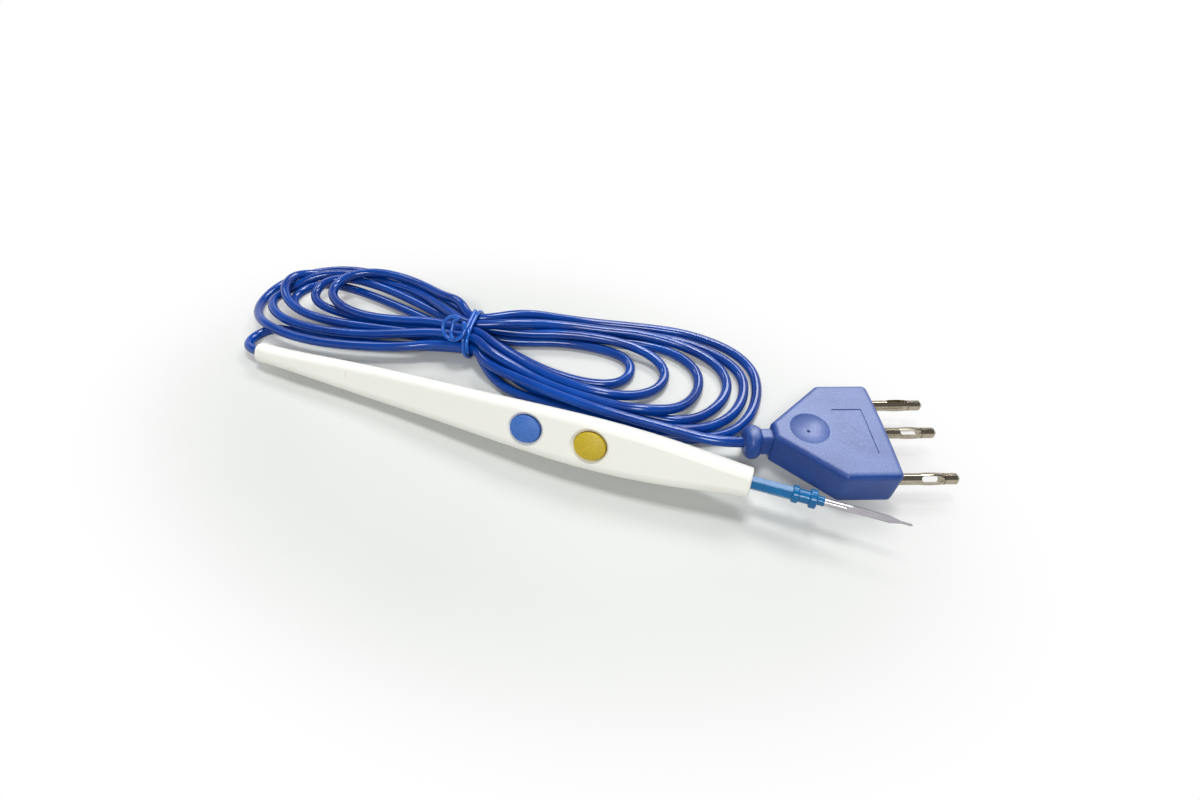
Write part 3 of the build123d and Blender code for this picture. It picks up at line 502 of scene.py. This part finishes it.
# %% Shell finish
MARK_DARKNESS, MARK_DEPTH = 0.5, -3.0
drift = add(tree, "TexNoise", {"Vector": place, "Scale": MM / 30, "Detail": 2.0})
drift_colour = add(tree, "ValToRGB", {"Fac": drift.outputs["Fac"]},
                   stops=((0.0, "#ECECE3"), (1.0, "#F1F1EA")))
darkness = add(tree, "Math", {0: marks.outputs[0], 1: MARK_DARKNESS}, operation="MULTIPLY")
coloured = add(tree, "Mix", {"Factor": darkness.outputs[0], 6: drift_colour.outputs["Color"],
                             7: linear("#B9B8AC")}, data_type="RGBA")
peel = add(tree, "TexNoise", {"Vector": place, "Scale": MM / 0.45, "Detail": 3.0})
peel_and_marks = add(tree, "Math", {0: marks.outputs[0], 1: MARK_DEPTH,
                                    2: peel.outputs["Fac"]}, operation="MULTIPLY_ADD")
relief = add(tree, "Bump", {"Height": peel_and_marks.outputs[0], "Strength": 0.25,
                            "Distance": 0.00002})
set_sockets(tree, shader, {"Base Color": coloured.outputs[2],
                           "Normal": relief.outputs["Normal"],
                           "Roughness": 0.42, "IOR": 1.53})
wear(abs_white, "upper_shell", "lower_shell")

# %% [markdown]
# ### Blue and yellow buttons
# Both caps are the same moulding in two colours, with a sandblasted top that keeps a gloved
# finger from slipping. To the eye they are matt, with a speckle where the grain's tips catch
# the light. The grain is about 0.25 mm, drawn as 0.4 mm so that it shows.


# %% Button finish
def button_finish(name, pale, deep):
    """Sandblasted plastic in a pale and a deep tone of one colour."""
    material, tree, shader, place = finish_of(name)
    grain = add(tree, "TexNoise", {"Vector": place, "Scale": MM / 0.4, "Detail": 4.0,
                                   "Roughness": 0.7})
    colours = add(tree, "ValToRGB", {"Fac": grain.outputs["Fac"]},
                  stops=((0.35, deep), (0.68, pale)))
    relief = add(tree, "Bump", {"Height": grain.outputs["Fac"], "Strength": 0.5,
                                "Distance": 0.00008})
    set_sockets(tree, shader, {"Base Color": colours.outputs["Color"],
                               "Normal": relief.outputs["Normal"],
                               "Roughness": 0.5, "IOR": 1.5})
    return material


wear(button_finish("blasted_blue_plastic", "#4A7CC6", "#1D55A8"), "coag_button")
wear(button_finish("blasted_yellow_plastic", "#D2BA28", "#B09408"), "cut_button")

# %% [markdown]
# ### Soft blue PVC of the lead
# The lead's jacket is extruded PVC: smooth, wet-looking and deep blue, with narrow pale
# highlights along its upper side. Extrusion leaves a slow ripple every few millimetres, and
# the colour drifts over a few centimetres.

# %% Lead jacket finish
jacket, tree, shader, place = finish_of("extruded_blue_pvc")
tone = add(tree, "TexNoise", {"Vector": place, "Scale": MM / 18, "Detail": 3.0})
colours = add(tree, "ValToRGB", {"Fac": tone.outputs["Fac"]},
              stops=((0.3, "#002F7E"), (0.7, "#00449E")))
ripple = add(tree, "TexNoise", {"Vector": place, "Scale": MM / 2.5, "Detail": 2.0})
relief = add(tree, "Bump", {"Height": ripple.outputs["Fac"], "Strength": 0.05,
                            "Distance": 0.00005})
set_sockets(tree, shader, {"Base Color": colours.outputs["Color"],
                           "Normal": relief.outputs["Normal"], "Roughness": 0.15,
                           "IOR": 1.53, "Specular IOR Level": 0.42})
wear(jacket, "lead", "cable_end")

# %% [markdown]
# ### Coating of the twist tie
# The tie's steel wire is dipped in a softer, glossier plastic than the lead's, and a little
# lighter, so it stands out against the strands that it holds.

# %% Twist tie finish
tie_coat, tree, shader, place = finish_of("blue_tie_coating")
tone = add(tree, "TexNoise", {"Vector": place, "Scale": MM / 3, "Detail": 2.0})
colours = add(tree, "ValToRGB", {"Fac": tone.outputs["Fac"]},
              stops=((0.0, "#0448A8"), (1.0, "#1066C8")))
set_sockets(tree, shader, {"Base Color": colours.outputs["Color"], "Roughness": 0.1,
                           "IOR": 1.5})
wear(tie_coat, "twist_tie_wire")

# %% [markdown]
# ### Blasted PVC of the plug
# The plug is moulded in the same PVC as the lead, but its tool was blasted, so it is matt. Its
# upward faces are painted paler: a painted sheen that stands in for the light falling on its top.
# It could be painted into an image, but it follows the surface's own direction, so the normal gives
# its place, and the grain breaks it up. The grain is drawn as 0.5 mm so that it shows.

# %% Grain and colour of the plug
plug_pvc, tree, shader, place = finish_of("matt_blue_pvc")
grain = add(tree, "TexNoise", {"Vector": place, "Scale": MM / 0.5, "Detail": 5.0,
                               "Roughness": 0.65})
cloud = add(tree, "TexNoise", {"Vector": place, "Scale": MM / 9, "Detail": 3.0})
both = add(tree, "Math", {0: cloud.outputs["Fac"], 1: 0.35, 2: grain.outputs["Fac"]},
           operation="MULTIPLY_ADD")
colours = add(tree, "ValToRGB", {"Fac": both.outputs[0]},
              stops=((0.45, "#002A76"), (0.9, "#0A4A9C")))
print("nodes for the grain", len(tree.nodes))

# %% Painted sheen on the plug's top
# Upward faces are painted paler here, a painted sheen that stands for light on the plug's top.
SHEEN_PAINT_STARTS, SHEEN_PAINT_FULL, SHEEN_PAINT_MOST = 0.8, 0.99, 0.3
facing = add(tree, "NewGeometry")
upward = add(tree, "SeparateXYZ", {"Vector": facing.outputs["Normal"]})
painted_sheen_top = add(tree, "MapRange", {"Value": upward.outputs["Z"], "From Min": SHEEN_PAINT_STARTS,
                                   "From Max": SHEEN_PAINT_FULL, "To Max": SHEEN_PAINT_MOST})
painted_sheen = add(tree, "Math", {0: painted_sheen_top.outputs[0], 1: both.outputs[0]}, operation="MULTIPLY")
# The pale lilac mixed in is the painted sheen's colour.
with_painted_sheen = add(tree, "Mix", {"Factor": painted_sheen.outputs[0], 6: colours.outputs["Color"],
                            7: linear("#C4CFEC")}, data_type="RGBA")
relief = add(tree, "Bump", {"Height": grain.outputs["Fac"], "Strength": 0.25,
                            "Distance": 0.00005})
set_sockets(tree, shader, {"Base Color": with_painted_sheen.outputs[2],
                           "Normal": relief.outputs["Normal"], "Roughness": 0.42,
                           "IOR": 1.53, "Sheen Weight": 0.05, "Sheen Roughness": 0.45})
wear(plug_pvc, "plug_housing")

# %% [markdown]
# ### Sleeve of the electrode
# The insulating sleeve is injection-moulded in a hard cyan plastic, glossy and a little
# uneven. A thin moulded line crosses it a few millimetres in front of the nose. It is drawn
# with the same band as the seam, both as a darker tone and as a small step in the relief.

# %% Sleeve finish
LINE_ALONG, LINE_DARKNESS, LINE_HEIGHT = 0.0038, 0.45, 2.0
sleeve_plastic, tree, shader, place = finish_of("moulded_cyan_sleeve")
tone = add(tree, "TexNoise", {"Vector": place, "Scale": MM / 4, "Detail": 2.0})
colours = add(tree, "ValToRGB", {"Fac": tone.outputs["Fac"]},
              stops=((0.0, "#00578F"), (1.0, "#026DA6")))
line = band(tree, from_nose(tree, place, FORWARD), LINE_ALONG, 0.00008, 0.0002)
darkness = add(tree, "Math", {0: line, 1: LINE_DARKNESS}, operation="MULTIPLY")
marked = add(tree, "Mix", {"Factor": darkness.outputs[0], 6: colours.outputs["Color"],
                           7: linear("#003C66")}, data_type="RGBA")
ripple = add(tree, "TexNoise", {"Vector": place, "Scale": MM / 0.8, "Detail": 2.0})
step = add(tree, "Math", {0: line, 1: LINE_HEIGHT, 2: ripple.outputs["Fac"]},
           operation="MULTIPLY_ADD")
relief = add(tree, "Bump", {"Height": step.outputs[0], "Strength": 0.2, "Distance": 0.00003})
set_sockets(tree, shader, {"Base Color": marked.outputs[2],
                           "Normal": relief.outputs["Normal"], "Roughness": 0.22,
                           "IOR": 1.5, "Specular IOR Level": 0.4})
wear(sleeve_plastic, "electrode_sleeve")

# %% [markdown]
# ### Metals
# The blade is stainless bar, ground along its length, so its tool marks are fine lines drawn
# out along the handle and its gloss is soft. The pins are turned brass under bright nickel,
# which is smoother and slightly warm. The socket and the strip are pressed brass, and the two
# domes are spring steel. A bare metal's colour is its reflection, so the marks change the
# tone, the roughness and the relief together.


# %% Metal finishes
def metal(name, bright, dull, roughness, grain_mm, along_ratio=1.0):
    """Bare metal whose tool marks are drawn out along the handle where the ratio is small."""
    material, tree, shader, place = finish_of(name)
    drawn = add(tree, "Mapping", {"Vector": place, "Scale": (along_ratio, 1.0, 1.0)})
    lines = add(tree, "TexNoise", {"Vector": drawn.outputs["Vector"], "Scale": MM / grain_mm,
                                   "Detail": 3.0})
    colours = add(tree, "ValToRGB", {"Fac": lines.outputs["Fac"]},
                  stops=((0.0, dull), (1.0, bright)))
    worn = add(tree, "MapRange", {"Value": lines.outputs["Fac"], "To Min": roughness * 0.8,
                                  "To Max": roughness * 1.25})
    relief = add(tree, "Bump", {"Height": lines.outputs["Fac"], "Strength": 0.06,
                                "Distance": 0.00001})
    set_sockets(tree, shader, {"Base Color": colours.outputs["Color"],
                               "Roughness": worn.outputs[0],
                               "Normal": relief.outputs["Normal"], "Metallic": 1.0})
    return material


wear(metal("ground_stainless", "#C4C2C6", "#A09EA4", 0.26, 0.2, 0.03), "electrode_blade")
wear(metal("nickel_plate", "#BDB3A2", "#948A78", 0.12, 1.2), "pin_coag", "pin_cut", "pin_active")
wear(metal("pressed_brass", "#D6B46A", "#B38F45", 0.3, 0.6), "electrode_socket",
     "contact_strip")
wear(metal("spring_steel", "#C9CACC", "#A5A6A8", 0.22, 0.5), "coag_dome", "cut_dome")

# %% [markdown]
# ### Inside
# The switch board and the cores are hidden in the closed handle, but they show when it is
# taken apart, so each gets its real finish: green glass-epoxy with a fine mottle, and the
# three coloured insulations of the cores, smooth and nearly even.


# %% Board and core finishes
def plain_moulding(name, pale, deep, grain_mm, roughness):
    """Hidden plastic, lightly mottled."""
    material, tree, shader, place = finish_of(name)
    mottle = add(tree, "TexNoise", {"Vector": place, "Scale": MM / grain_mm, "Detail": 3.0})
    colours = add(tree, "ValToRGB", {"Fac": mottle.outputs["Fac"]},
                  stops=((0.0, deep), (1.0, pale)))
    set_sockets(tree, shader, {"Base Color": colours.outputs["Color"],
                               "Roughness": roughness})
    return material


wear(plain_moulding("glass_epoxy_board", "#2E7A4A", "#1B5A34", 0.5, 0.4), "switch_board")
for name, core, pale, deep in (("white_core", "active", "#EDEDE8", "#DADAD4"),
                               ("blue_core", "coag", "#3A66C8", "#2A50A8"),
                               ("yellow_core", "cut", "#E6CC3C", "#C8AC20")):
    wear(plain_moulding(name, pale, deep, 1.5, 0.35), core + "_core", "plug_core_" + core)

# %% [markdown]
# ## Floor
# The pencil lies on a white table that fades to pure white. Near the pencil it is a painted
# surface that keeps the shadows. Its far reaches glow at exactly white, but only for rays
# that come from the camera, are mirrored or are let through. Metal and plastic mirror it,
# and it adds no other light. The fade is an ellipse, longer the way the pencil lies.


# %% Rays that show a surface
def seen_directly(tree):
    """1 for camera, glossy and transmission rays, and 0 for light that falls on things."""
    ray = add(tree, "LightPath")
    seen = add(tree, "Math", {0: ray.outputs["Is Camera Ray"], 1: ray.outputs["Is Glossy Ray"]},
               operation="MAXIMUM")
    return add(tree, "Math", {0: seen.outputs[0], 1: ray.outputs["Is Transmission Ray"]},
               operation="MAXIMUM").outputs[0]


# %% Table paint
table_white, tree, shader, place = finish_of("white_table")
speckle = add(tree, "TexNoise", {"Vector": place, "Scale": MM / 60, "Detail": 2.0})
colours = add(tree, "ValToRGB", {"Fac": speckle.outputs["Fac"]},
              stops=((0.0, "#CACCC9"), (1.0, "#CED0CD")))
set_sockets(tree, shader, {"Base Color": colours.outputs["Color"], "Roughness": 0.42,
                           "Specular IOR Level": 0.12})
print("nodes for the paint", len(tree.nodes))

# %% Fade to white
FADE_MIDDLE, FADE_SHAPE = (-0.01, 0.004, 0.0), (0.62, 1.0, 0.0)
FADE_STARTS, FADE_DONE = 0.055, 0.113
middle = add(tree, "VectorMath", {0: place, 1: FADE_MIDDLE}, operation="SUBTRACT")
stretched = add(tree, "VectorMath", {0: middle.outputs[0], 1: FADE_SHAPE},
                operation="MULTIPLY")
away = add(tree, "VectorMath", {0: stretched.outputs[0]}, operation="LENGTH")
fade = add(tree, "MapRange", {"Value": away.outputs["Value"], "From Min": FADE_STARTS,
                              "From Max": FADE_DONE}, interpolation_type="SMOOTHSTEP")
amount = add(tree, "Math", {0: fade.outputs[0], 1: seen_directly(tree)}, operation="MULTIPLY")
glow = add(tree, "Emission", {"Strength": 1.0})
blend = add(tree, "MixShader", {0: amount.outputs[0], 1: shader.outputs[0],
                                2: glow.outputs[0]})
tree.links.new(blend.outputs[0], tree.nodes["Material Output"].inputs["Surface"])
print("fade from", FADE_STARTS, "to", FADE_DONE, "m")

# %% Table
deselect()
bpy.ops.mesh.primitive_plane_add(size=6)
table = bpy.context.object
table.name = "table"
table.data.materials.append(table_white)
print("table", table.dimensions[0], "m wide")

# %% [markdown]
# ## Light
# The world lights the pencil only dimly. The low part of it is exactly white for the rays
# that show it, as the table's far reaches are, so that no edge shows where the table ends.
# How high a direction points is its Z, which the world's Generated coordinates give.

# %% World
DIM_ROOM = 0.22
WHITE_BELOW, DIM_ABOVE = 0.3, 0.5
world = bpy.data.worlds.new("studio")
bpy.context.scene.world = world
world.use_nodes = True
tree = world.node_tree
way = add(tree, "TexCoord")
rise = add(tree, "SeparateXYZ", {"Vector": way.outputs["Generated"]})
backdrop = add(tree, "MapRange", {"Value": rise.outputs["Z"], "From Min": WHITE_BELOW,
                                  "From Max": DIM_ABOVE, "To Min": 1.0 - DIM_ROOM,
                                  "To Max": 0.0})
strength = add(tree, "Math", {0: backdrop.outputs[0], 1: seen_directly(tree), 2: DIM_ROOM},
               operation="MULTIPLY_ADD")
set_sockets(tree, tree.nodes["Background"], {"Color": (1, 1, 1, 1),
                                             "Strength": strength.outputs[0]})
print("world", world.name, "at", DIM_ROOM)

# %% [markdown]
# An overhead lamp and a wide window behind draw the pale lines along the lead and let the
# shadows fall towards the viewer. A small lamp at the left rims the tail, and a broad one in
# front fills the handle's face. Softboxes are used, because a small bare lamp would cut the
# shadows hard.


# %% Lamps
def softbox(name, place, size, watts):
    """A rectangular area light at place, turned to the pencil's middle, in metres."""
    deselect()
    bpy.ops.object.light_add(type="AREA", location=place)
    lamp = bpy.context.object
    lamp.name = name
    lamp.rotation_euler = (MIDDLE - Vector(place)).to_track_quat("-Z", "Y").to_euler()
    lamp.data.shape = "RECTANGLE"
    lamp.data.size, lamp.data.size_y = size
    lamp.data.energy = watts
    print(name, watts, "W")


MIDDLE = Vector((-0.01, 0.03, 0.0))
softbox("overhead", (-0.05, 0.32, 0.92), (0.26, 0.24), 5.0)
softbox("window_behind", (0.1, 0.75, 0.7), (0.6, 0.22), 4.7)
softbox("lamp_left", (-0.5, 0.3, 0.52), (0.16, 0.16), 0.6)
softbox("lamp_front", (0.1, -0.75, 0.78), (0.34, 0.26), 5.6)

# %% [markdown]
# ## Finish
# The Standard view shows a colour as it is written.

# %% View
bpy.context.scene.view_settings.view_transform = "Standard"
bpy.context.view_layer.update()
